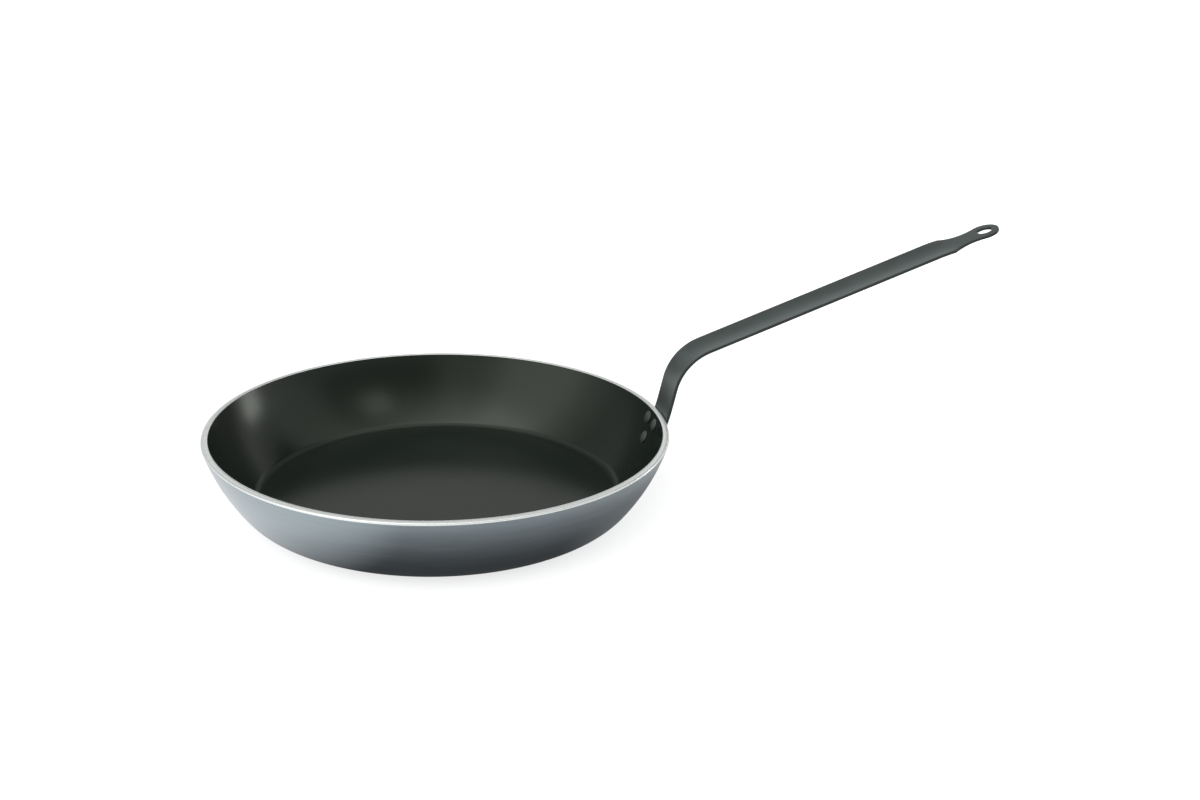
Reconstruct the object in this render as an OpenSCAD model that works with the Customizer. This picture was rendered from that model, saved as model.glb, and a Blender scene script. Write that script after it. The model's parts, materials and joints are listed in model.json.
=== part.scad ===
// Omelette pan: a pressed aluminium body with a non-stick lining and a long
// bent steel strip handle, held to the wall by three rivets.
// The pan stands on z = 0, its axis is z, and the handle points along +x.

/* [Pan body] */
// Diameter over the wall where it meets the rim band
rim_d = 280; // [256:1:320]
// Height from the table to the top of the rim
pan_h = 47.5; // [42:0.5:58]
// Diameter of the flat that the pan stands on
base_d = 202; // [170:1:216]
// Thickness of the aluminium
sheet_t = 4; // [2.5:0.1:5]
// Outside radius of the knee between base and wall
knee_r = 25.5; // [16:0.5:32]
// Inside radius between floor and wall
floor_r = 8; // [4:0.5:14]
// Outside radius of the curved wall, seen in section
wall_r = 112; // [85:1:220]
// Height of the bare band turned round the outside of the rim
rim_band_h = 1.2; // [1:0.1:4]
// How far that band is turned in from the wall
rim_step = 0.15; // [0.05:0.05:0.5]
// Rounding of the outer edge of the rim
rim_edge_r = 0.8; // [0.3:0.1:0.9]

/* [Rings turned into the underside] */
// Diameter of the smallest ring
ring_first_d = 50; // [30:1:80]
// Distance from one ring to the next
ring_pitch = 12; // [6:0.5:14]
// Width of each ring
ring_w = 1.4; // [0.6:0.1:3]
// Depth of each ring
ring_depth = 0.4; // [0.2:0.1:1]
// Flat left free outside the last ring, at least
ring_margin = 14; // [6:1:30]

/* [Non-stick lining] */
// Thickness of the lining
lining_t = 0.3; // [0.2:0.05:0.8]

/* [Handle strip] */
// Width of the strip
strip_w = 26.5; // [24:0.5:34]
// Thickness of the strip
strip_t = 2; // [1.5:0.1:4]
// Rounding of the strip's long edges
strip_edge_r = 0.4; // [0.2:0.1:0.7]
// Angle through which the strip keeps the wall's round above the rim, before the neck
neck_start_turn = 4.4; // [2:0.1:10]
// Straight length of the neck above the rim
neck_len = 11.8; // [4:0.2:40]
// Radius of the elbow, on its upper face
elbow_r = 33.5; // [20:0.5:60]
// Slope of the arm above level
arm_slope = 20.5; // [8:0.1:35]
// Straight length of the arm, up to its shoulders
arm_len = 170.8; // [100:0.1:220]
// Depth of the hollow across the arm's upper face
arm_dish = 1.1; // [0.2:0.1:2.5]
// Length over which that hollow runs out at the shoulders
fade_len = 20; // [12:1:24]
// How far the strip runs on below the lowest rivet
plate_end = 12; // [9:0.5:14]
// How much more than half the strip's width the round that ends it has for radius
plate_end_ease = 2; // [0.5:0.5:10]

/* [Hanging eye] */
// Width of the waist between shoulders and eye
waist_w = 15.8; // [10:0.1:18]
// Radius of the hollow cuts that form the waist
waist_r = 20; // [12:0.5:30]
// Diameter over the eye
eye_d = 19.5; // [18.5:0.5:24]
// Diameter of the hanging hole
eye_hole_d = 11; // [6:0.5:15]

/* [Rivets] */
// Diameter of the shank
rivet_d = 5; // [4:0.1:6.5]
// Diameter of the head inside the pan
head_d = 8; // [7.5:0.1:10]
// Height of the head inside the pan
head_h = 1.8; // [1:0.1:3]
// Diameter of the head closed on the strip
tail_d = 8.6; // [7.5:0.1:10]
// Height of the head closed on the strip
tail_h = 2.2; // [1:0.1:3]
// Height of the straight edge below each dome
head_edge_h = 0.5; // [0.2:0.1:0.8]
// Distance between the two upper rivets
rivet_pitch = 14; // [11:0.5:16]
// Distance from the rim down the inner wall to the upper rivets
rivet_drop = 5.8; // [5.5:0.1:9]
// Distance down the wall from the upper rivets to the lower one
rivet_row = 11.4; // [8:0.1:14]

/* [Clearances] */
// Gap between the strip and the wall it is drawn against
strip_seat = 0.06; // [0.04:0.01:0.3]
// Gap round each rivet shank
shank_gap = 0.04; // [0.02:0.01:0.2]
// Gap under each rivet head at its closest point
head_seat = 0.03; // [0.02:0.01:0.2]

/* [Hidden] */
$fn = 180;

// Section of the body: the knee is an arc about knee_c, and the wall an arc
// about wall_c that runs on from it up to the rim band. Inside, the floor runs
// into the wall by a tighter arc about floor_c. Knee and floor arc stand proud
// of the wall's arcs by a hair, so that the arcs cross.
rim_r = rim_d / 2;
base_r = base_d / 2;
knee_proud = 0.002;
knee_lap = 5;
knee_c = [base_r, knee_r];
wall_top = [rim_r, pan_h - rim_band_h];
wall_c = circles_meet(knee_c, wall_r - knee_r + knee_proud, wall_top, wall_r);
floor_gap = wall_r - sheet_t - floor_r + knee_proud;
floor_rise = sheet_t + floor_r - wall_c.y;
floor_c = [wall_c.x + sqrt(floor_gap ^ 2 - floor_rise ^ 2), sheet_t + floor_r];
over = 1;

// Steps that the strip's faces, rounded edges and bends are divided into
face_steps = 8;
edge_steps = 2;
plate_steps = 10;
elbow_steps = 14;
fade_steps = 6;

// Places on the wall, as angles about wall_c
inner_r = wall_r - sheet_t - lining_t;
rim_inner_angle = asin((pan_h - wall_c.y) / inner_r);
upper_angle = rim_inner_angle - arc_angle(rivet_drop, inner_r);
lower_angle = upper_angle - arc_angle(rivet_row, inner_r);
mid_angle = (upper_angle + lower_angle) / 2;
end_angle = lower_angle - arc_angle(plate_end + over, wall_r);
// Against the wall the strip is hollowed across its width to the wall's own round
wall_round = (wall_c.x + wall_r * cos(mid_angle)) / cos(mid_angle);
wall_dish = (strip_w / 2) ^ 2 / (2 * wall_round);

// Places along the strip's upper face, in the x, z plane
plate_r = wall_r + strip_seat;
neck_lean = -angle_of(wall_top - wall_c) - neck_start_turn;
neck_start = wall_c + plate_r * dir(-neck_lean);
neck_end = neck_start + neck_len * dir(90 - neck_lean);
elbow_c = neck_end + elbow_r * dir(-neck_lean);
arm_start = elbow_c + elbow_r * dir(90 + arm_slope);
arm_end = arm_start + arm_len * dir(arm_slope);

// Outline of the end, measured from the shoulders
eye_r = eye_d / 2;
waist_side = waist_w / 2 + waist_r;
waist_u = sqrt(waist_r ^ 2 - (waist_side - strip_w / 2) ^ 2);
eye_u = waist_u + sqrt((waist_r + eye_r) ^ 2 - waist_side ^ 2);
waist_share = waist_r / (waist_r + eye_r);
join_u = waist_u + (eye_u - waist_u) * waist_share;
join_v = waist_side * (1 - waist_share);

// Rivets, measured from the inner face of the lining
stack_t = lining_t + sheet_t + strip_seat + strip_t;
upper_turn = asin(rivet_pitch / 2 / (wall_c.x + inner_r * cos(upper_angle)));
head_sag = (head_d / 2) ^ 2 / (2 * inner_r) + head_seat;
rivet_places = [[upper_turn, upper_angle], [-upper_turn, upper_angle], [0, lower_angle]];

function dir(a) = [cos(a), sin(a)];
function angle_of(v) = atan2(v.y, v.x);
function arc_angle(length, r) = length / r * 180 / PI;

// Centre at distance ra from a and rb from b, on the left of the way from b to a
function circles_meet(a, ra, b, rb) =
    let (
        gap = norm(b - a),
        along = (ra ^ 2 - rb ^ 2 + gap ^ 2) / (2 * gap),
        side = sqrt(ra ^ 2 - along ^ 2),
        ahead = (b - a) / gap
    )
    a + along * ahead + side * [-ahead.y, ahead.x];

// Everything between two directions from a point, further out than the section reaches
module wedge(from_point, first, last) {
    polygon([from_point, for (a = [first, (first + last) / 2, last]) from_point + 2 * rim_r * dir(a)]);
}

// Half section of everything inside a face that runs level up to a turn of radius
// r about c, and on along the wall at depth under its outside
module inside_of(c, r, depth, top) {
    turn_end = angle_of(c - wall_c);
    translate([0, c.y - r]) square([c.x, top - c.y + r]);
    intersection() {
        translate(c) circle(r);
        wedge(c, -90, turn_end + knee_lap);
    }
    intersection() {
        translate(wall_c) circle(wall_r - depth);
        wedge(c, turn_end, 90);
        square([2 * rim_r, top]);
    }
}

// What is turned away round the rim, measured from the corner of the band
module rim_turning() {
    translate([rim_r - rim_step, pan_h]) {
        translate([0, -rim_band_h]) square([rim_r, rim_band_h + over]);
        translate([-rim_edge_r, -rim_edge_r]) difference() {
            square(rim_edge_r + over);
            circle(rim_edge_r);
        }
    }
}

// Moves a shape drawn about z onto a rivet's axis, z = 0 on the lining
module at_rivet(place) {
    rotate([0, 0, place[0]])
        translate([wall_c.x, 0, wall_c.y])
            rotate([0, 90 - place[1], 0])
                translate([0, 0, inner_r])
                    children();
}

module rivet_holes() {
    for (place = rivet_places)
        at_rivet(place)
            translate([0, 0, -over]) cylinder(h = stack_t + 3 * over, d = rivet_d + 2 * shank_gap);
}

module underside_rings() {
    for (r = [ring_first_d / 2 : ring_pitch : base_r - ring_margin - ring_w])
        translate([r, -over]) square([ring_w, ring_depth + over]);
}

module pan_body() {
    color([0.72, 0.74, 0.76]) difference() {
        rotate_extrude() difference() {
            inside_of(knee_c, knee_r, 0, pan_h);
            inside_of(floor_c, floor_r, sheet_t, pan_h + over);
            rim_turning();
            underside_rings();
        }
        rivet_holes();
    }
}

module nonstick_lining() {
    color([0.16, 0.17, 0.16]) difference() {
        rotate_extrude() difference() {
            inside_of(floor_c, floor_r, sheet_t, pan_h);
            inside_of(floor_c, floor_r - lining_t, sheet_t + lining_t, pan_h + over);
        }
        rivet_holes();
    }
}

// Loop of points round the strip's section: across it, and up from the
// middle of its upper face. The faces are hollowed by dish and the edges rounded.
function section_points(dish) =
    let (
        side = strip_w / 2 - strip_edge_r,
        across = [for (i = [0 : face_steps]) side * (2 * i / face_steps - 1)],
        rise = function(v) dish * (2 * v / strip_w) ^ 2,
        upper = rise(side) - strip_edge_r,
        lower = rise(side) - strip_t + strip_edge_r,
        outward = [for (i = [1 : edge_steps]) strip_edge_r * dir(90 - 90 * i / edge_steps)],
        inward = [for (i = [0 : edge_steps - 1]) strip_edge_r * dir(90 * i / edge_steps)]
    )
    concat(
        [for (v = across) [v, rise(v)]],
        [for (p = outward) [side + p.x, upper + p.y]],
        [for (p = inward) [side + p.x, lower - p.y]],
        [for (v = across) [-v, rise(v) - strip_t]],
        [for (p = outward) [-side - p.x, lower - p.y]],
        [for (p = inward) [-side - p.x, upper + p.y]]
    );

// The section stood across the strip at a station: [place, slope, dish]
function station_points(station) =
    let (up = dir(station[1] + 90))
    [for (p = section_points(station[2]))
        [station[0].x + p.y * up.x, p.x, station[0].y + p.y * up.y]];

// Stations round a bend about a centre, r to the upper face
function bend_stations(centre, r, from, to, steps, dish_from, dish_to, turned) =
    [for (i = [0 : steps])
        let (share = i / steps, a = from + (to - from) * share)
        [centre + r * dir(a), a + turned, dish_from + (dish_to - dish_from) * share]];

// The hollow of the arm runs out, past the shoulders, into the flat end
function end_dish(u) = arm_dish * (1 + cos(180 * min(1, u / fade_len + 1 / 2))) / 2;

function end_stations() =
    let (fade = [for (i = [0 : fade_steps]) fade_len * (i / fade_steps - 1 / 2)])
    [for (u = concat(fade, [eye_u + eye_r])) [arm_end + u * dir(arm_slope), arm_slope, end_dish(u)]];

// The whole strip as one band through all its stations
module strip() {
    stations = concat(
        bend_stations(wall_c, plate_r, end_angle, -neck_lean, plate_steps, wall_dish, wall_dish, 90),
        bend_stations(elbow_c, elbow_r, 180 - neck_lean, 90 + arm_slope, elbow_steps, wall_dish, arm_dish, -90),
        end_stations()
    );
    loop = len(section_points(0));
    last = (len(stations) - 1) * loop;
    polyhedron(
        points = [for (station = stations) each station_points(station)],
        faces = concat(
            [[for (k = [0 : loop - 1]) k]],
            [for (i = [0 : len(stations) - 2], k = [0 : loop - 1])
                let (a = i * loop + k, b = i * loop + (k + 1) % loop)
                each [[a, a + loop, b + loop], [a, b + loop, b]]],
            [[for (k = [loop - 1 : -1 : 0]) last + k]]
        )
    );
}

// Everything below the round that ends the strip, seen along the lowest rivet
module plate_end_cut() {
    plate_end_r = strip_w / 2 + plate_end_ease;
    at_rivet([0, lower_angle])
        translate([plate_end - plate_end_r, 0, -over])
            linear_extrude(stack_t + 4 * over) difference() {
                translate([0, -strip_w]) square(2 * strip_w);
                circle(plate_end_r);
            }
}

// Waist and eye in plan: x along the end from the shoulders, y across
module eye_outline() {
    difference() {
        polygon([[0, -strip_w / 2], [0, strip_w / 2], [join_u, join_v], [eye_u, 0], [join_u, -join_v]]);
        for (side = [-1, 1])
            translate([waist_u, side * waist_side]) circle(waist_r);
    }
    translate([eye_u, 0]) circle(d = eye_d);
}

// Stands plan shapes of the end through the strip there
module at_end() {
    translate([arm_end.x, 0, arm_end.y])
        rotate([0, -arm_slope, 0])
            translate([0, 0, -2 * strip_t])
                linear_extrude(4 * strip_t) children();
}

module handle() {
    color([0.36, 0.38, 0.38]) difference() {
        strip();
        plate_end_cut();
        rivet_holes();
        at_end() difference() {
            translate([0, -strip_w]) square([2 * (eye_u + eye_r), 2 * strip_w]);
            eye_outline();
        }
        at_end() translate([eye_u, 0]) circle(d = eye_hole_d);
    }
}

// A low dome on a short straight edge, standing on z = 0
module rivet_head(d, h) {
    dome_h = h - head_edge_h;
    dome_r = ((d / 2) ^ 2 + dome_h ^ 2) / (2 * dome_h);
    rotate_extrude($fn = 64) {
        square([d / 2, head_edge_h]);
        intersection() {
            translate([0, h - dome_r]) circle(dome_r);
            translate([0, head_edge_h]) square([d / 2, h]);
        }
    }
}

module rivet() {
    translate([0, 0, -head_sag]) mirror([0, 0, 1]) rivet_head(head_d, head_h);
    translate([0, 0, -head_sag - head_edge_h / 2])
        cylinder(h = head_sag + stack_t + head_seat + head_edge_h, d = rivet_d, $fn = 64);
    translate([0, 0, stack_t + head_seat]) rivet_head(tail_d, tail_h);
}

module rivets() {
    color([0.5, 0.51, 0.52])
        for (place = rivet_places)
            at_rivet(place) rivet();
}

pan_body();
nonstick_lining();
handle();
rivets();
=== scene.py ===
"""Looks of the omelette pan: every piece dressed round its solid, the floor, the light and the camera."""
import json
import math

import bpy
from mathutils import Matrix, Vector

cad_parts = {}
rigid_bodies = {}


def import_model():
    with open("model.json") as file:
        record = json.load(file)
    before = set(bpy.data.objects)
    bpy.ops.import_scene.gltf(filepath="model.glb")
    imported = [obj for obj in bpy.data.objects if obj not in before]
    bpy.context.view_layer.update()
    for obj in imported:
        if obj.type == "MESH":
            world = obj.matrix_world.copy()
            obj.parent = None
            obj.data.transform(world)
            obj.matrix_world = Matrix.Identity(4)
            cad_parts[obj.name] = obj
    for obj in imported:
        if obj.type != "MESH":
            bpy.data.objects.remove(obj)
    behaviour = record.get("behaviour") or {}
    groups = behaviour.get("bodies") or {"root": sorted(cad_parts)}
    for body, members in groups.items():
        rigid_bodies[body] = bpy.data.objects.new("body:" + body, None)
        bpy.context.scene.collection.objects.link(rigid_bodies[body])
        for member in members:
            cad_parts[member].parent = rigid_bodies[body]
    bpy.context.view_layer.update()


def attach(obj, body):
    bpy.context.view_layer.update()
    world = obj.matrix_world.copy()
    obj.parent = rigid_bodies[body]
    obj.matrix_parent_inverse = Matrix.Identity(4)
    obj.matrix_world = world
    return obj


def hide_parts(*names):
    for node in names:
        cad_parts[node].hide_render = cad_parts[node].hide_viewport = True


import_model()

MM = 0.001
TAU = 2 * math.pi

# The pan's section, as in the solids
RIM_R = 140 * MM
PAN_H = 47.5 * MM
BASE_R = 101 * MM
SHEET_T = 4 * MM
KNEE_R = 25.5 * MM
FLOOR_R = 8 * MM
WALL_R = 112 * MM
RIM_BAND_H = 1.2 * MM
RIM_STEP = 0.15 * MM
RIM_EDGE_R = 0.8 * MM
BAND_FOOT_OUT = 0.03 * MM
BAND_FOOT_H = 0.05 * MM
RING_COUNT = 6
RING_FIRST_R = 25 * MM
RING_PITCH = 12 * MM
RING_W = 1.4 * MM
RING_DEPTH = 0.4 * MM
RING_ROUNDNESS = 0.7
LINING_T = 0.3 * MM

# The handle strip
STRIP_W = 26.5 * MM
STRIP_T = 2 * MM
NECK_START_TURN = math.radians(4.4)
NECK_LEN = 11.8 * MM
ELBOW_R = 33.5 * MM
ARM_SLOPE = math.radians(20.5)
ARM_LEN = 168.5 * MM
ARM_DISH = 1.1 * MM
FADE_LEN = 20 * MM
PLATE_END = 12 * MM
PLATE_END_R = STRIP_W / 2 + 2 * MM
WAIST_W = 15.8 * MM
WAIST_R = 24 * MM
EYE_R = 9.75 * MM
EYE_HOLE_R = 4.7 * MM
EYE_HOLE_OUT = 0.8 * MM
STRIP_EDGE_R = 0.4 * MM

# The rivets
RIVET_R = 2.5 * MM
HEAD_R = 4 * MM
HEAD_H = 1.8 * MM
TAIL_R = 4.3 * MM
TAIL_H = 2.2 * MM
HEAD_EDGE_H = 0.5 * MM
RIVET_PITCH = 14 * MM
RIVET_DROP = 5.8 * MM
RIVET_ROW = 11.4 * MM

# What keeps strip, wall and rivets apart
STRIP_SEAT = 0.06 * MM
HEAD_SEAT = 0.03 * MM

# Steps round what is turned, and along the arcs of its section
TURN_STEPS = 256
RIVET_STEPS = 48
ARC_STEP = math.radians(1.5)
EDGE_STEPS = 5
RING_STEPS = 6
DOME_STEPS = 12
MERGE_DISTANCE = 0.002 * MM

# Share of the wall's last step that is kept by itself, so that the rim's shading stays at the rim
LAST_STEP_SHARE = 0.05

# Steps across the strip, along its round end, round the eye and from its outline to the hole
STRIP_COLUMNS = 16
END_ROWS = 4
EYE_STEPS = 66
EYE_LAYERS = 6


def direction(angle):
    return Vector((math.cos(angle), math.sin(angle)))


def angle_of(v):
    return math.atan2(v.y, v.x)


def circles_meet(a, ra, b, rb):
    """Centre at distance ra from a and rb from b, on the left of the way from b to a."""
    gap = (b - a).length
    along = (ra ** 2 - rb ** 2 + gap ** 2) / (2 * gap)
    side = math.sqrt(ra ** 2 - along ** 2)
    ahead = (b - a) / gap
    return a + along * ahead + side * Vector((-ahead.y, ahead.x))


# Centres of the two arcs of the section, and angles about the wall's one
KNEE_C = Vector((BASE_R, KNEE_R))
WALL_TOP = Vector((RIM_R, PAN_H - RIM_BAND_H))
WALL_C = circles_meet(KNEE_C, WALL_R - KNEE_R, WALL_TOP, WALL_R)
FLOOR_RISE = SHEET_T + FLOOR_R - WALL_C.y
FLOOR_OUT = math.sqrt((WALL_R - SHEET_T - FLOOR_R) ** 2 - FLOOR_RISE ** 2)
FLOOR_C = Vector((WALL_C.x + FLOOR_OUT, SHEET_T + FLOOR_R))
INNER_R = WALL_R - SHEET_T - LINING_T
RIM_INNER_ANGLE = math.asin((PAN_H - WALL_C.y) / INNER_R)
UPPER_ANGLE = RIM_INNER_ANGLE - RIVET_DROP / INNER_R
LOWER_ANGLE = UPPER_ANGLE - RIVET_ROW / INNER_R

# The strip's way: plate along the wall, neck, elbow, arm and end
PLATE_R = WALL_R + STRIP_SEAT
NECK_ANGLE = angle_of(WALL_TOP - WALL_C) + NECK_START_TURN
PLATE_FROM = LOWER_ANGLE - PLATE_END / PLATE_R
PLATE_LEN = PLATE_R * (NECK_ANGLE - PLATE_FROM)
ELBOW_TURN = math.pi / 2 + NECK_ANGLE - ARM_SLOPE
ELBOW_LEN = ELBOW_R * ELBOW_TURN
SHOULDER_S = PLATE_LEN + NECK_LEN + ELBOW_LEN + ARM_LEN
MID_ANGLE = (UPPER_ANGLE + LOWER_ANGLE) / 2
WALL_ROUND = (WALL_C.x + WALL_R * math.cos(MID_ANGLE)) / math.cos(MID_ANGLE)
WALL_DISH = (STRIP_W / 2) ** 2 / (2 * WALL_ROUND)

# The end's outline, measured from the shoulders
WAIST_SIDE = WAIST_W / 2 + WAIST_R
WAIST_U = math.sqrt(WAIST_R ** 2 - (WAIST_SIDE - STRIP_W / 2) ** 2)
EYE_U = WAIST_U + math.sqrt((WAIST_R + EYE_R) ** 2 - WAIST_SIDE ** 2)


# Node trees
class Socket:
    """An output of a node. Arithmetic on it adds the Math nodes."""

    def __init__(self, tree, socket):
        self.tree = tree
        self.socket = socket

    def __add__(self, other):
        return self.tree.math("ADD", self, other)

    def __radd__(self, other):
        return self.tree.math("ADD", other, self)

    def __sub__(self, other):
        return self.tree.math("SUBTRACT", self, other)

    def __rsub__(self, other):
        return self.tree.math("SUBTRACT", other, self)

    def __mul__(self, other):
        return self.tree.math("MULTIPLY", self, other)

    def __rmul__(self, other):
        return self.tree.math("MULTIPLY", other, self)

    def __truediv__(self, other):
        return self.tree.math("DIVIDE", self, other)

    def __pow__(self, other):
        return self.tree.math("POWER", self, other)

    def __mod__(self, other):
        return self.tree.math("MODULO", self, other)

    def __lt__(self, other):
        return self.tree.math("LESS_THAN", self, other)


class Made:
    """A node that has been added. Its outputs are read by name or place."""

    def __init__(self, tree, node):
        self.tree = tree
        self.node = node

    def __getitem__(self, key):
        return Socket(self.tree, pick(self.node.outputs, key))


def pick(sockets, key):
    """The socket in use that has this name or place."""
    if isinstance(key, int):
        return sockets[key]
    return next(s for s in sockets if s.name == key and s.enabled)


class Tree:
    """A shader or geometry tree under construction."""

    def __init__(self, tree):
        self.tree = tree

    def node(self, kind, settings=None, inputs=None):
        """Adds a node: its settings first, then the values or links of its sockets."""
        node = self.tree.nodes.new(kind)
        for name, value in (settings or {}).items():
            setattr(node, name, value)
        for key, value in (inputs or {}).items():
            socket = pick(node.inputs, key)
            if isinstance(value, Socket):
                self.tree.links.new(value.socket, socket)
            else:
                socket.default_value = value
        return Made(self, node)

    def math(self, operation, *values):
        return self.node("ShaderNodeMath", {"operation": operation}, dict(enumerate(values)))[0]

    def clamp(self, value, low, high):
        return self.math("MINIMUM", self.math("MAXIMUM", value, low), high)

    def step(self, value, low, high):
        """0 below low, 1 above high and smooth between; low may be above high."""
        return self.node("ShaderNodeMapRange", {"interpolation_type": "SMOOTHSTEP"},
                         {"Value": value, "From Min": low, "From Max": high})["Result"]

    def vector(self, x, y, z):
        return self.node("ShaderNodeCombineXYZ", {}, {"X": x, "Y": y, "Z": z})["Vector"]

    def parts(self, vector):
        split = self.node("ShaderNodeSeparateXYZ", {}, {"Vector": vector})
        return split["X"], split["Y"], split["Z"]


class GeometryTree(Tree):
    """A geometry tree with named inputs and one geometry output."""

    def __init__(self, name):
        super().__init__(bpy.data.node_groups.new(name, "GeometryNodeTree"))
        self.entry = self.tree.nodes.new("NodeGroupInput")
        self.ids = {}

    def input(self, name, kind="NodeSocketFloat"):
        self.ids[name] = self.tree.interface.new_socket(name, in_out="INPUT", socket_type=kind).identifier
        return Socket(self, self.entry.outputs[name])

    def geometry(self, kind, inputs):
        """Adds a node without settings of its own and gives its geometry."""
        return self.node(kind, {}, inputs)["Geometry"]

    def stored(self, geometry, name, value):
        """The geometry with a vector kept on its points under a name."""
        return self.node("GeometryNodeStoreNamedAttribute", {"data_type": "FLOAT_VECTOR"},
                         {"Geometry": geometry, "Name": name, "Value": value})["Geometry"]

    def finish(self, geometry, material):
        """Ends the tree: instances made real, the material set, the result put out."""
        self.tree.interface.new_socket("Geometry", in_out="OUTPUT", socket_type="NodeSocketGeometry")
        real = self.geometry("GeometryNodeRealizeInstances", {"Geometry": geometry})
        done = self.geometry("GeometryNodeSetMaterial", {"Geometry": real, "Material": material})
        self.node("NodeGroupOutput", {}, {0: done})
        return self


def mesh_object(name, points, edges=(), faces=()):
    mesh = bpy.data.meshes.new(name)
    mesh.from_pydata(points, edges, faces)
    thing = bpy.data.objects.new(name, mesh)
    bpy.context.scene.collection.objects.link(thing)
    return thing


def add_tree(thing, tree, values):
    """Adds a geometry tree to an object, with the values of its named inputs."""
    modifier = thing.modifiers.new(tree.tree.name, "NODES")
    modifier.node_group = tree.tree
    for name, value in values.items():
        modifier[tree.ids[name]] = value


def bake(thing):
    """Turns an object and its modifiers into a plain mesh."""
    depsgraph = bpy.context.evaluated_depsgraph_get()
    mesh = bpy.data.meshes.new_from_object(thing.evaluated_get(depsgraph), depsgraph=depsgraph)
    thing.modifiers.clear()
    thing.data = mesh
    mesh.name = thing.name
    return thing


# Geometry trees
def turned_tree():
    """Turns the object's own mesh, a line of points in x and z, round the z axis."""
    g = GeometryTree("turned")
    section = g.input("Section", "NodeSocketGeometry")
    steps = g.input("Steps round", "NodeSocketInt")
    merge = g.input("Merge distance")
    material = g.input("Material", "NodeSocketMaterial")
    size = g.node("GeometryNodeAttributeDomainSize", {"component": "MESH"}, {"Geometry": section})
    count = size["Point Count"]
    grid = g.node("GeometryNodeMeshGrid", {}, {"Vertices X": steps + 1, "Vertices Y": count})["Mesh"]
    index = g.node("GeometryNodeInputIndex")["Index"]
    position = g.node("GeometryNodeInputPosition")["Position"]
    place = g.node("GeometryNodeSampleIndex", {"data_type": "FLOAT_VECTOR"},
                   {"Geometry": section, "Value": position, "Index": index % count})["Value"]
    r, _, z = g.parts(place)
    turn = g.math("FLOOR", (index + 0.5) / count) / steps * TAU
    around = g.vector(r * g.math("COSINE", turn), r * g.math("SINE", turn), z)
    turned = g.geometry("GeometryNodeSetPosition", {"Geometry": grid, "Position": around})
    closed = g.geometry("GeometryNodeMergeByDistance", {"Geometry": turned, "Distance": merge})
    smooth = g.geometry("GeometryNodeSetShadeSmooth", {"Geometry": closed})
    return g.finish(smooth, material)


def set_rivets_tree():
    """Sets a rivet on each point of the object's mesh, along the point's axis."""
    g = GeometryTree("set rivets")
    points = g.input("Places", "NodeSocketGeometry")
    rivet = g.input("Rivet", "NodeSocketObject")
    material = g.input("Material", "NodeSocketMaterial")
    named = g.node("GeometryNodeInputNamedAttribute", {"data_type": "FLOAT_VECTOR"}, {"Name": "axis"})
    axis = named["Attribute"]
    turn = g.node("FunctionNodeAlignRotationToVector", {"axis": "Z"}, {"Vector": axis})["Rotation"]
    shape = g.geometry("GeometryNodeObjectInfo", {"Object": rivet})
    placed = g.node("GeometryNodeInstanceOnPoints", {},
                    {"Points": points, "Instance": shape, "Rotation": turn})["Instances"]
    return g.finish(placed, material)


def bent_tree():
    """Bends a flat blank, x along it and y across, round wall, neck and elbow, and hollows it."""
    g = GeometryTree("bent strip")
    blank = g.input("Blank", "NodeSocketGeometry")
    size = {name: g.input(name) for name in (
        "Plate radius", "Plate from", "Plate length", "Neck length", "Elbow radius", "Elbow length",
        "Plate hollow", "Arm hollow", "Fade from", "Fade length", "Half width")}
    centre = g.input("Wall centre", "NodeSocketVector")
    material = g.input("Material", "NodeSocketMaterial")
    position = g.node("GeometryNodeInputPosition")["Position"]
    along, across, up = g.parts(position)

    plate = g.math("MINIMUM", along, size["Plate length"])
    neck = g.clamp(along - size["Plate length"], 0, size["Neck length"])
    past_neck = along - size["Plate length"] - size["Neck length"]
    elbow = g.clamp(past_neck, 0, size["Elbow length"])
    arm = g.math("MAXIMUM", past_neck - size["Elbow length"], 0)

    wall_angle = size["Plate from"] + plate / size["Plate radius"]
    neck_angle = size["Plate from"] + size["Plate length"] / size["Plate radius"]
    turned = elbow / size["Elbow radius"]
    normal_angle = wall_angle - turned + math.pi

    def cosine(angle):
        return g.math("COSINE", angle)

    def sine(angle):
        return g.math("SINE", angle)

    centre_x, _, centre_z = g.parts(centre)
    added = (size["Arm hollow"] - size["Plate hollow"]) * elbow / size["Elbow length"]
    rise = size["Plate hollow"] + added
    fade = g.clamp((along - size["Fade from"]) / size["Fade length"], 0, 1)
    hollow = rise * (cosine(fade * math.pi) + 1) / 2 * (across / size["Half width"]) ** 2
    lift = up + hollow
    x = (centre_x + size["Plate radius"] * cosine(wall_angle) - neck * sine(neck_angle)
         + size["Elbow radius"] * (cosine(neck_angle) - cosine(neck_angle - turned))
         - arm * sine(wall_angle - turned) + lift * cosine(normal_angle))
    z = (centre_z + size["Plate radius"] * sine(wall_angle) + neck * cosine(neck_angle)
         + size["Elbow radius"] * (sine(neck_angle) - sine(neck_angle - turned))
         + arm * cosine(wall_angle - turned) + lift * sine(normal_angle))
    kept = g.stored(blank, "blank", position)
    kept = g.stored(kept, "face", g.vector(cosine(normal_angle), 0, sine(normal_angle)))
    bent = g.geometry("GeometryNodeSetPosition", {"Geometry": kept, "Position": g.vector(x, across, z)})
    smooth = g.geometry("GeometryNodeSetShadeSmooth", {"Geometry": bent})
    return g.finish(smooth, material)


# Sections
def arc(centre, r, start, end, steps=None):
    """Points along an arc, its ends included."""
    steps = steps or max(2, math.ceil(abs(end - start) / ARC_STEP))
    return [centre + r * direction(start + (end - start) * i / steps) for i in range(steps + 1)]


def wall_angle_at(depth, height):
    return math.asin((height - WALL_C.y) / (WALL_R - depth))


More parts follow.
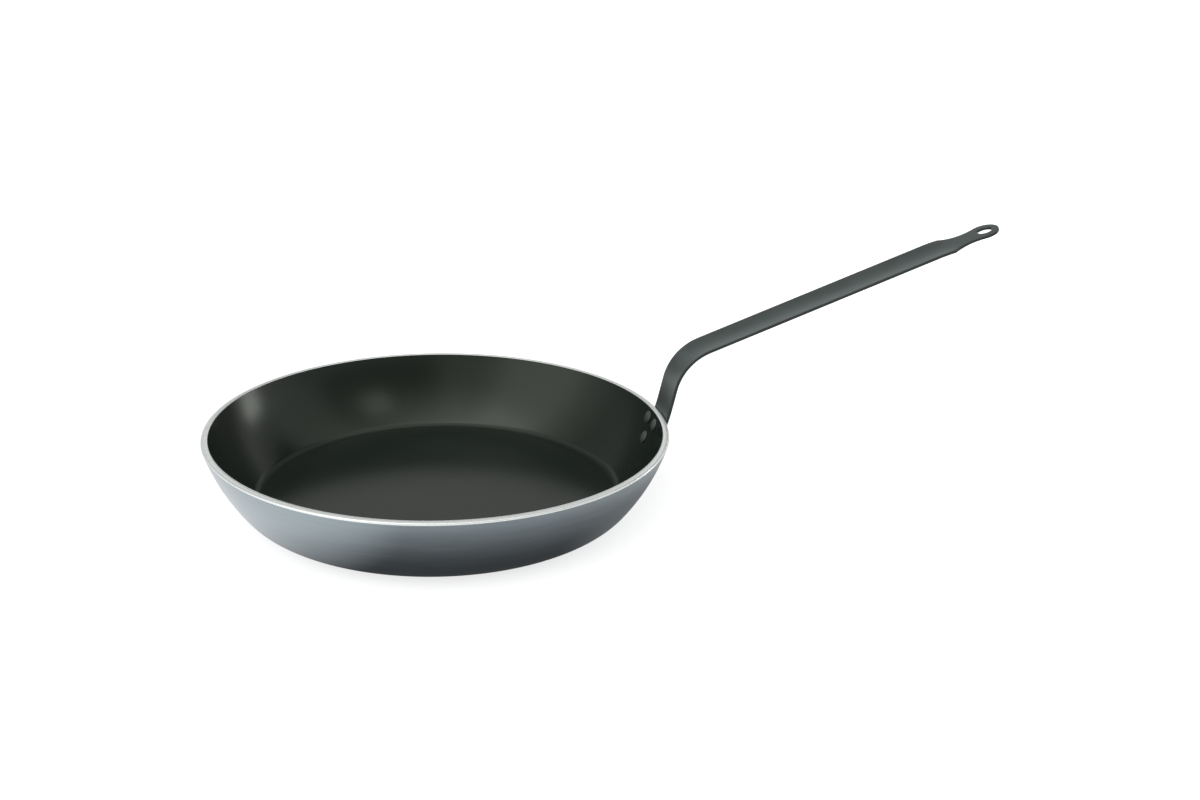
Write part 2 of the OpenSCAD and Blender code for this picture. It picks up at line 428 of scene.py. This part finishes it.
def curve_up(centre, r, depth, height):
    """A turn about its centre, then the wall at a depth under its outside, up to a height."""
    turn_end = angle_of(centre - WALL_C)
    wall = arc(WALL_C, WALL_R - depth, turn_end, wall_angle_at(depth, height))
    wall.insert(-1, wall[-1].lerp(wall[-2], LAST_STEP_SHARE))
    return arc(centre, r, -math.pi / 2, turn_end) + wall[1:]


def ring_section(r):
    """One turned ring in the underside, with a round bottom."""
    half = RING_W / 2
    cut = []
    for i in range(RING_STEPS + 1):
        across = half * (2 * i / RING_STEPS - 1)
        depth = RING_DEPTH * math.sin(math.pi * i / RING_STEPS) ** RING_ROUNDNESS
        cut.append(Vector((r + half + across, max(0, depth))))
    return cut


def body_section():
    underside = [Vector((0, 0))]
    for k in range(RING_COUNT):
        underside += ring_section(RING_FIRST_R + k * RING_PITCH)
    band_r = RIM_R - RIM_STEP
    band_foot = [Vector((band_r + BAND_FOOT_OUT, WALL_TOP.y)),
                 Vector((band_r, WALL_TOP.y + BAND_FOOT_H))]
    edge_c = Vector((band_r - RIM_EDGE_R, PAN_H - RIM_EDGE_R))
    edge = arc(edge_c, RIM_EDGE_R, 0, math.pi / 2, EDGE_STEPS)
    inside = curve_up(FLOOR_C, FLOOR_R, SHEET_T, PAN_H)[::-1]
    outside = curve_up(KNEE_C, KNEE_R, 0, WALL_TOP.y)
    return underside + outside + band_foot + edge + inside + [Vector((0, SHEET_T))]


def lining_section():
    outside = curve_up(FLOOR_C, FLOOR_R, SHEET_T, PAN_H)
    inside = curve_up(FLOOR_C, FLOOR_R - LINING_T, SHEET_T + LINING_T, PAN_H)[::-1]
    return [Vector((0, SHEET_T))] + outside + inside + [Vector((0, SHEET_T + LINING_T))]


def dome(r, h, turn_over):
    """A low dome on a short straight edge, from its foot to its top."""
    dome_h = h - HEAD_EDGE_H
    ball_r = (r ** 2 + dome_h ** 2) / (2 * dome_h)
    half = math.asin(r / ball_r)
    points = [Vector((r, 0))]
    for i in range(DOME_STEPS, -1, -1):
        lean = half * i / DOME_STEPS
        points.append(Vector((ball_r * math.sin(lean), h - ball_r * (1 - math.cos(lean)))))
    return [Vector((p.x, -p.y if turn_over else p.y)) for p in points]


def rivet_section():
    """A rivet along z, z = 0 on the lining, from the inner head to the closed one."""
    stack = LINING_T + SHEET_T + STRIP_SEAT + STRIP_T
    sag = HEAD_R ** 2 / (2 * INNER_R) + HEAD_SEAT
    low = [Vector((p.x, p.y - sag)) for p in dome(HEAD_R, HEAD_H, True)[::-1]]
    high = [Vector((p.x, p.y + stack + HEAD_SEAT)) for p in dome(TAIL_R, TAIL_H, False)]
    shank = [Vector((RIVET_R, low[-1].y)), Vector((RIVET_R, high[0].y))]
    return low + shank + high


def turn(name, section, steps, material):
    """A piece turned round the z axis from its section."""
    points = [(p.x, 0, p.y) for p in section]
    thing = mesh_object(name, points, [(i, i + 1) for i in range(len(points) - 1)])
    add_tree(thing, TURNED, {
        "Steps round": steps, "Merge distance": MERGE_DISTANCE, "Material": material})
    return bake(thing)


# The strip's blank
def half_width(u):
    """Half the strip's width at u past the shoulders, up to the waist."""
    if u <= 0:
        return STRIP_W / 2
    return WAIST_SIDE - math.sqrt(WAIST_R ** 2 - (u - WAIST_U) ** 2)


def eye_reach(angle):
    """From the middle of the eye to the outline, or to the waist's narrowest line."""
    ray = direction(angle)
    waist = Vector((WAIST_U - EYE_U, math.copysign(WAIST_SIDE, angle)))
    join = waist * EYE_R / (WAIST_R + EYE_R)
    narrow = Vector((WAIST_U - EYE_U, math.copysign(WAIST_W / 2, angle)))
    if abs(angle) <= abs(angle_of(join)):
        return EYE_R
    if abs(angle) < abs(angle_of(narrow)):
        near = ray.dot(waist)
        return near - math.sqrt(near ** 2 - waist.length_squared + WAIST_R ** 2)
    return narrow.x / ray.x


def spread(start, end, step):
    """Evenly spaced places from start to end, both included."""
    count = max(1, round((end - start) / step))
    return [start + (end - start) * i / count for i in range(count + 1)]


def blank_rows():
    """Rows of points across the blank, from its round end to the waist."""
    shares = [2 * j / STRIP_COLUMNS - 1 for j in range(STRIP_COLUMNS + 1)]
    rows = []
    for i in range(END_ROWS):
        row = []
        for share in shares:
            y = share * STRIP_W / 2
            tip = PLATE_END_R - math.sqrt(PLATE_END_R ** 2 - y ** 2)
            row.append((tip + (PLATE_END - tip) * i / END_ROWS, y))
        rows.append(row)
    marks = [PLATE_END, PLATE_LEN, PLATE_LEN + NECK_LEN, PLATE_LEN + NECK_LEN + ELBOW_LEN,
             SHOULDER_S - FADE_LEN / 2, SHOULDER_S, SHOULDER_S + WAIST_U]
    steps = [2 * MM, 3 * MM, 1.6 * MM, 5 * MM, 2 * MM, 1.5 * MM]
    places = [marks[0]]
    for start, end, step in zip(marks, marks[1:], steps):
        places += spread(start, end, step)[1:]
    for s in places:
        half = half_width(s - SHOULDER_S)
        rows.append([(s, share * half) for share in shares])
    return rows


def strip_blank():
    """The flat blank: rows of points up to the waist, then rings round the hanging hole."""
    rows = blank_rows()
    width = len(rows[0])
    points = [p for row in rows for p in row]
    faces = []
    for i in range(len(rows) - 1):
        for j in range(width - 1):
            a = i * width + j
            faces.append((a, a + width, a + width + 1, a + 1))

    eye_s = SHOULDER_S + EYE_U
    last = (len(rows) - 1) * width
    line_angles = [math.atan2(points[last + j][1], points[last + j][0] - eye_s) for j in range(width)]
    low, high = line_angles[0], line_angles[-1]
    outline = [high + (low - high) * k / EYE_STEPS for k in range(1, EYE_STEPS)]
    angles = line_angles + outline
    rings = [[last + j for j in range(width)]]
    for angle in outline:
        points.append(tuple(Vector((eye_s, 0)) + eye_reach(angle) * direction(angle)))
        rings[0].append(len(points) - 1)
    outer = [Vector(points[i]) for i in rings[0]]
    for layer in range(1, EYE_LAYERS + 1):
        ring = []
        for place, angle in zip(outer, angles):
            hole = Vector((eye_s + EYE_HOLE_OUT, 0)) + EYE_HOLE_R * direction(angle)
            points.append(tuple(place.lerp(hole, layer / EYE_LAYERS)))
            ring.append(len(points) - 1)
        rings.append(ring)
    for outside, inside in zip(rings, rings[1:]):
        for k in range(len(outside)):
            n = (k + 1) % len(outside)
            faces.append((outside[k], inside[k], inside[n], outside[n]))
    return [(x, y, 0) for x, y in points], faces


def handle(material):
    """The strip: a flat blank given its thickness and soft edges, then bent and hollowed."""
    points, faces = strip_blank()
    thing = mesh_object("steel_handle", points, (), faces)
    solidify = thing.modifiers.new("thickness", "SOLIDIFY")
    solidify.thickness = STRIP_T
    solidify.offset = -1
    bevel = thing.modifiers.new("soft edges", "BEVEL")
    bevel.width = STRIP_EDGE_R
    bevel.segments = 3
    bevel.limit_method = "ANGLE"
    bevel.angle_limit = math.radians(50)
    add_tree(thing, bent_tree(), {
        "Plate radius": PLATE_R, "Plate from": PLATE_FROM, "Plate length": PLATE_LEN,
        "Neck length": NECK_LEN, "Elbow radius": ELBOW_R, "Elbow length": ELBOW_LEN,
        "Plate hollow": WALL_DISH, "Arm hollow": ARM_DISH, "Fade from": SHOULDER_S - FADE_LEN / 2,
        "Fade length": FADE_LEN, "Half width": STRIP_W / 2,
        "Wall centre": (WALL_C.x, 0, WALL_C.y), "Material": material})
    return bake(thing)


def rivet_places():
    """Each rivet's foot on the lining, and its axis."""
    side = math.asin(RIVET_PITCH / 2 / (WALL_C.x + INNER_R * math.cos(UPPER_ANGLE)))
    for round_z, angle in ((side, UPPER_ANGLE), (-side, UPPER_ANGLE), (0, LOWER_ANGLE)):
        out = direction(angle)
        r = WALL_C.x + INNER_R * out.x
        z = WALL_C.y + INNER_R * out.y
        spin = Matrix.Rotation(round_z, 3, "Z")
        yield spin @ Vector((r, 0, z)), spin @ Vector((out.x, 0, out.y))


def rivets(material):
    """The three rivets, one turned shape set three times."""
    pattern = turn("rivet_pattern", rivet_section(), RIVET_STEPS, material)
    places = list(rivet_places())
    thing = mesh_object("three_rivets", [p for p, _ in places])
    axis = thing.data.attributes.new("axis", "FLOAT_VECTOR", "POINT")
    for slot, (_, out) in zip(axis.data, places):
        slot.vector = out
    add_tree(thing, set_rivets_tree(), {"Rivet": pattern, "Material": material})
    bake(thing)
    bpy.data.objects.remove(pattern)
    return thing


# Finishes
class Finish(Tree):
    """A material's tree, with the coordinates that its patterns follow."""

    def __init__(self, name):
        self.material = bpy.data.materials.new(name)
        self.material.use_nodes = True
        super().__init__(self.material.node_tree)
        self.tree.nodes.clear()
        self.place = self.node("ShaderNodeTexCoord")["Object"]

    def noise(self, vector, scale, detail=3.0, roughness=0.55):
        inputs = {"Vector": vector, "Scale": scale, "Detail": detail, "Roughness": roughness}
        return self.node("ShaderNodeTexNoise", {}, inputs)["Fac"]

    def mix(self, share, a, b):
        return self.node("ShaderNodeMix", {"data_type": "RGBA"}, {0: share, "A": a, "B": b})["Result"]

    def contrast(self, value, gain):
        """A value from 0 to 1, spread about its middle."""
        return self.clamp((value - 0.5) * gain + 0.5, 0, 1)

    def bump(self, height, strength, distance):
        inputs = {"Height": height, "Strength": strength, "Distance": distance}
        return self.node("ShaderNodeBump", {}, inputs)["Normal"]

    def scaled(self, vector, factors):
        product = self.node("ShaderNodeVectorMath", {"operation": "MULTIPLY"}, {0: vector, 1: factors})
        return product["Vector"]

    def surface(self, **inputs):
        """Ends the tree with one Principled shader."""
        named = {key.replace("_", " "): value for key, value in inputs.items()}
        shader = self.node("ShaderNodeBsdfPrincipled", {}, named)["BSDF"]
        self.node("ShaderNodeOutputMaterial", {}, {"Surface": shader})
        return self.material


def round_axis(f):
    """Distance from the pan's axis, height, and the direction round the axis as a unit vector."""
    x, y, z = f.parts(f.place)
    r = f.math("SQRT", x * x + y * y + 1e-9)
    return r, z, x / r, y / r


def turned_metal():
    """The body: dull blue-grey turned sheet outside, bright where the rim and rings were cut."""
    f = Finish("turned_aluminium")
    r, z, cx, cy = round_axis(f)
    profile = r + z
    lines = f.noise(f.vector(cx * 0.35, cy * 0.35, profile * 900), 1.0, 4.0, 0.6)
    coarse = f.noise(f.vector(cx * 0.6, cy * 0.6, profile * 160), 1.0, 2.0)
    streaks = f.noise(f.vector(cx * 5, cy * 5, profile * 240), 1.0, 3.0)
    cloud = f.noise(f.place, 18.0, 3.0)
    rim = f.step(z, PAN_H - RIM_BAND_H - 0.1 * MM, PAN_H - RIM_BAND_H + 0.1 * MM)
    in_rings = f.step(z, 0.05 * MM, 0.2 * MM) * (r < BASE_R - 10 * MM) * (z < 1 * MM)
    bright = f.clamp(rim + in_rings, 0, 1)
    worn = f.contrast(lines * 0.4 + coarse * 0.2 + streaks * 0.4, 1.7)
    dark_sheet, pale_sheet = (0.24, 0.285, 0.312, 1), (0.375, 0.435, 0.47, 1)
    sheet = f.mix(cloud * 0.25, f.mix(worn, dark_sheet, pale_sheet), (0.29, 0.35, 0.38, 1))
    cut_metal = f.mix(lines, (0.88, 0.915, 0.895, 1), (0.95, 0.985, 0.965, 1))
    height = (lines * 0.7 + coarse * 0.3) * (1 - rim * 0.75)
    return f.surface(
        Base_Color=f.mix(bright, sheet, cut_metal),
        Metallic=1 - rim * 0.4,
        Coat_Weight=0.4,
        Coat_Roughness=0.3,
        Roughness=0.38 + (lines - 0.5) * 0.12 + (streaks - 0.5) * 0.14 - bright * 0.1,
        Normal=f.bump(height, 0.35, 0.03 * MM))


def lining_coat():
    """The non-stick coating: near black, faintly green, with a fine grain."""
    f = Finish("nonstick_coat")
    grain = f.noise(f.place, 900.0, 2.0)
    cloud = f.noise(f.place, 22.0, 3.0)
    deep, faded = (0.0042, 0.0088, 0.0058, 1), (0.0068, 0.0122, 0.0084, 1)
    return f.surface(
        Base_Color=f.mix(cloud, deep, faded),
        Metallic=0.0,
        Specular_Tint=(0.92, 1.0, 0.87, 1),
        Roughness=0.19 + cloud * 0.05 + grain * 0.03,
        Normal=f.bump(grain, 0.15, 0.02 * MM))


def strip_steel():
    """The handle: mottled dark steel, its cut sides darkened as painted shade, its edges rubbed a little
    brighter.
    """
    f = Finish("dark_steel")
    blank = f.node("ShaderNodeAttribute", {"attribute_name": "blank"})["Vector"]
    face = f.node("ShaderNodeAttribute", {"attribute_name": "face"})["Vector"]
    normal = f.node("ShaderNodeNewGeometry")["Normal"]
    facing = f.node("ShaderNodeVectorMath", {"operation": "DOT_PRODUCT"}, {0: face, 1: normal})["Value"]
    flat = f.math("ABSOLUTE", facing)
    # side: the strip's side faces, made rougher and, below, darkened as painted shade
    side = f.step(flat, 0.7, 0.3)
    edge = f.step(flat, 0.97, 0.8) * f.step(flat, 0.3, 0.6)
    grain = f.noise(f.scaled(blank, (1, 6, 6)), 160.0, 4.0)
    cloud = f.contrast(f.noise(blank, 60.0, 5.0, 0.6), 1.7)
    pits = f.noise(blank, 700.0, 2.0)
    steel = f.mix(cloud, (0.061, 0.074, 0.072, 1), (0.091, 0.106, 0.102, 1))
    steel = f.mix(f.clamp((grain - 0.5) * 1.2, 0, 1), steel, (0.13, 0.147, 0.143, 1))
    # Painted shade: the side faces are darkened to stand in for the shade that falls on them
    steel = f.mix(side * 0.75, steel, (0.016, 0.019, 0.018, 1))
    wear = edge * f.step(cloud, 0.35, 0.65)
    return f.surface(
        Base_Color=f.mix(wear * 0.25, steel, (0.17, 0.185, 0.183, 1)),
        Metallic=0.4,
        Specular_Tint=(0.88, 1.0, 0.97, 1),
        Roughness=0.27 + cloud * 0.09 + side * 0.12 - wear * 0.05,
        Normal=f.bump(pits * 0.6 + grain * 0.4, 0.3, 0.03 * MM))


def rivet_metal():
    """The rivets: dulled grey, with small dents from closing."""
    f = Finish("dull_rivet_metal")
    dents = f.noise(f.place, 420.0, 2.0)
    cloud = f.noise(f.place, 160.0, 3.0)
    return f.surface(
        Base_Color=f.mix(cloud, (0.058, 0.067, 0.065, 1), (0.105, 0.117, 0.114, 1)),
        Metallic=0.4,
        Specular_Tint=(0.92, 1.0, 0.98, 1),
        Roughness=0.42 + cloud * 0.12,
        Normal=f.bump(dents, 0.4, 0.08 * MM))


# Floor, light and camera
def floor_finish():
    """Pale floor that keeps the shadow and comes out white in the picture where it is lit.

    Mirrors see a level of its own: a painted shadow round the pan's foot, and painted light further out
    and on the left.
    """
    f = Finish("floor_paint")
    path = f.node("ShaderNodeLightPath")
    x, y, _ = f.parts(f.place)
    away = f.math("SQRT", x * x + y * y)
    to_camera = 0.74 + 0.24 * f.step(away, 0.25, 1.0)
    # Painted light and shade that only mirrors see: brighter pools on the left and right, and a painted
    # shadow round the pan's foot that gives way to an even level further out
    left = f.step(x - away, -0.15, -0.28) * (1.2 - 0.5 * f.step(y, 0.06, 0.22))
    right = f.step(x, 0.02, 0.12) * 0.28
    behind = f.step(y, 0, 0.12)
    open_floor = 0.83 - 0.2 * behind
    painted_foot_shadow = 0.09 + open_floor * f.step(away, 0.118 + 0.022 * behind, 0.2 + 0.045 * behind)
    painted_mirror_level = f.math("MAXIMUM", f.math("MAXIMUM", left, right), painted_foot_shadow)
    mirrored = path["Is Glossy Ray"] + path["Is Transmission Ray"]
    level = path["Is Camera Ray"] * to_camera + mirrored * painted_mirror_level
    # Mirrors see no lit floor, so its real shadow gives way to the painted level above
    paint = f.mix(mirrored, (0.6, 0.6, 0.6, 1), (0, 0, 0, 1))
    diffuse = f.node("ShaderNodeBsdfDiffuse", {}, {"Color": paint})["BSDF"]
    glow = f.node("ShaderNodeEmission", {}, {"Strength": level})["Emission"]
    both = f.node("ShaderNodeAddShader", {}, {0: diffuse, 1: glow})["Shader"]
    f.node("ShaderNodeOutputMaterial", {}, {"Surface": both})
    return f.material


def floor():
    half = 6.0
    below = -0.3 * MM  # keeps the floor clear of the underside
    corners = [(-half, -half, below), (half, -half, below), (half, half, below), (-half, half, below)]
    thing = mesh_object("floor", corners, (), [(0, 1, 2, 3)])
    thing.data.materials.append(floor_finish())


def world():
    """White to the camera; for light and reflections, a soft dome with brighter and darker panels."""
    bpy.context.scene.world = bpy.data.worlds.new("studio")
    bpy.context.scene.world.use_nodes = True
    w = Tree(bpy.context.scene.world.node_tree)
    w.tree.nodes.clear()
    x, y, up = w.parts(w.node("ShaderNodeTexCoord")["Generated"])
    around = w.math("ARCTAN2", y, x) * (180 / math.pi)
    above = w.math("ARCSINE", up) * (180 / math.pi)

    def panel(middle, half, low, high, edge=8.0):
        """A soft-edged panel, by its direction round the pan and its height above level, in degrees."""
        soft = edge / 2
        off = w.math("ABSOLUTE", w.math("WRAP", around - middle, 180.0, -180.0))
        sides = w.step(off, half + soft, half - soft)
        return sides * w.step(above, low - soft, low + soft) * w.step(above, high + soft, high - soft)

    dome = 0.66
    front = -112
    toward_front = (1 + w.math("COSINE", (around - front) * (math.pi / 180))) / 2
    overhead = w.step(above, 30, 68) * (0.15 + 0.95 * toward_front ** 2)
    front_left = panel(-157, 25, -10, 56, 22.0) * 0.7
    front_dark = panel(-62, 36, 14, 60, 16.0) * 0.42
    front_spot = panel(-54, 9, 36, 50, 8.0) * 1.2
    back_dark = panel(65, 50, 25.5, 56, 7.0) * 0.41
    left_dark = panel(140, 20, -10, 60, 18.0) * 0.3
    neck_dark = panel(108, 15, -10, 12, 8.0) * 0.36
    right_window = panel(17.5, 6, -2, 10, 4.0) * 3.9
    right_dark = panel(25, 16, 15, 38, 8.0) * 0.22
    studio = (dome + overhead + front_left + front_spot + right_window
              - front_dark - back_dark - left_dark - neck_dark - right_dark)
    backdrop = panel(62, 32, -10, 20, 9.0) * 0.67
    path = w.node("ShaderNodeLightPath")
    seen = path["Is Camera Ray"] + (path["Is Glossy Ray"] + path["Is Transmission Ray"]) * backdrop
    strength = w.math("MAXIMUM", w.math("MINIMUM", seen, 1.0), studio)
    back = w.node("ShaderNodeBackground", {}, {"Color": (1, 1, 1, 1), "Strength": strength})
    w.node("ShaderNodeOutputWorld", {}, {"Surface": back["Background"]})


def softbox(name, round_pan, above, distance, width, height, brightness):
    """A softbox seen from the pan at two angles in degrees; its brightness is that of its own face."""
    lamp = bpy.data.lights.new(name, "AREA")
    lamp.shape = "RECTANGLE"
    lamp.size = width
    lamp.size_y = height
    lamp.energy = brightness * math.pi * width * height
    thing = bpy.data.objects.new(name, lamp)
    bpy.context.scene.collection.objects.link(thing)
    level = direction(math.radians(round_pan)) * math.cos(math.radians(above))
    thing.location = distance * Vector((level.x, level.y, math.sin(math.radians(above))))
    thing.rotation_euler = (-thing.location).to_track_quat("-Z", "Y").to_euler()
    thing.visible_camera = False


def lights():
    softbox("top_softbox", -160, 66, 1.5, 0.7, 0.7, 0.6)


def camera():
    """The camera, turned so that the middle of the base falls left of and below the picture's middle."""
    distance = 0.8921
    height_angle = math.radians(24.11)
    round_pan = math.radians(7.1)
    roll = math.radians(-1.12)
    picture_w = 1200
    focal_px = 1428.7
    base_px = Vector((440.2, 496.9)) - Vector((600, 400))
    lens = bpy.data.cameras.new("camera")
    lens.sensor_fit = "HORIZONTAL"
    lens.sensor_width = 36
    lens.lens = lens.sensor_width * focal_px / picture_w
    lens.clip_start = 0.01
    thing = bpy.data.objects.new("camera", lens)
    bpy.context.scene.collection.objects.link(thing)
    turn_z = Matrix.Rotation(-round_pan, 3, "Z")
    look = turn_z @ Matrix.Rotation(math.pi / 2 - height_angle, 3, "X")
    aim = (Matrix.Rotation(roll, 3, "Z") @ Matrix.Rotation(math.atan(base_px.x / focal_px), 3, "Y")
           @ Matrix.Rotation(math.atan(base_px.y / focal_px), 3, "X"))
    thing.matrix_world = Matrix.Translation(look @ Vector((0, 0, distance))) @ (look @ aim).to_4x4()
    bpy.context.scene.camera = thing


# Assembly
TURNED = turned_tree()


def dress(piece, node):
    """The piece rides on the pan and stands for its solid."""
    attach(piece, "root")
    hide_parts(node)


dress(turn("turned_body", body_section(), TURN_STEPS, turned_metal()), "pan_body")
dress(turn("dark_lining", lining_section(), TURN_STEPS, lining_coat()), "nonstick_lining")
dress(handle(strip_steel()), "handle")
dress(rivets(rivet_metal()), "rivets")
floor()
world()
lights()
camera()
bpy.context.scene.view_settings.view_transform = "Standard"
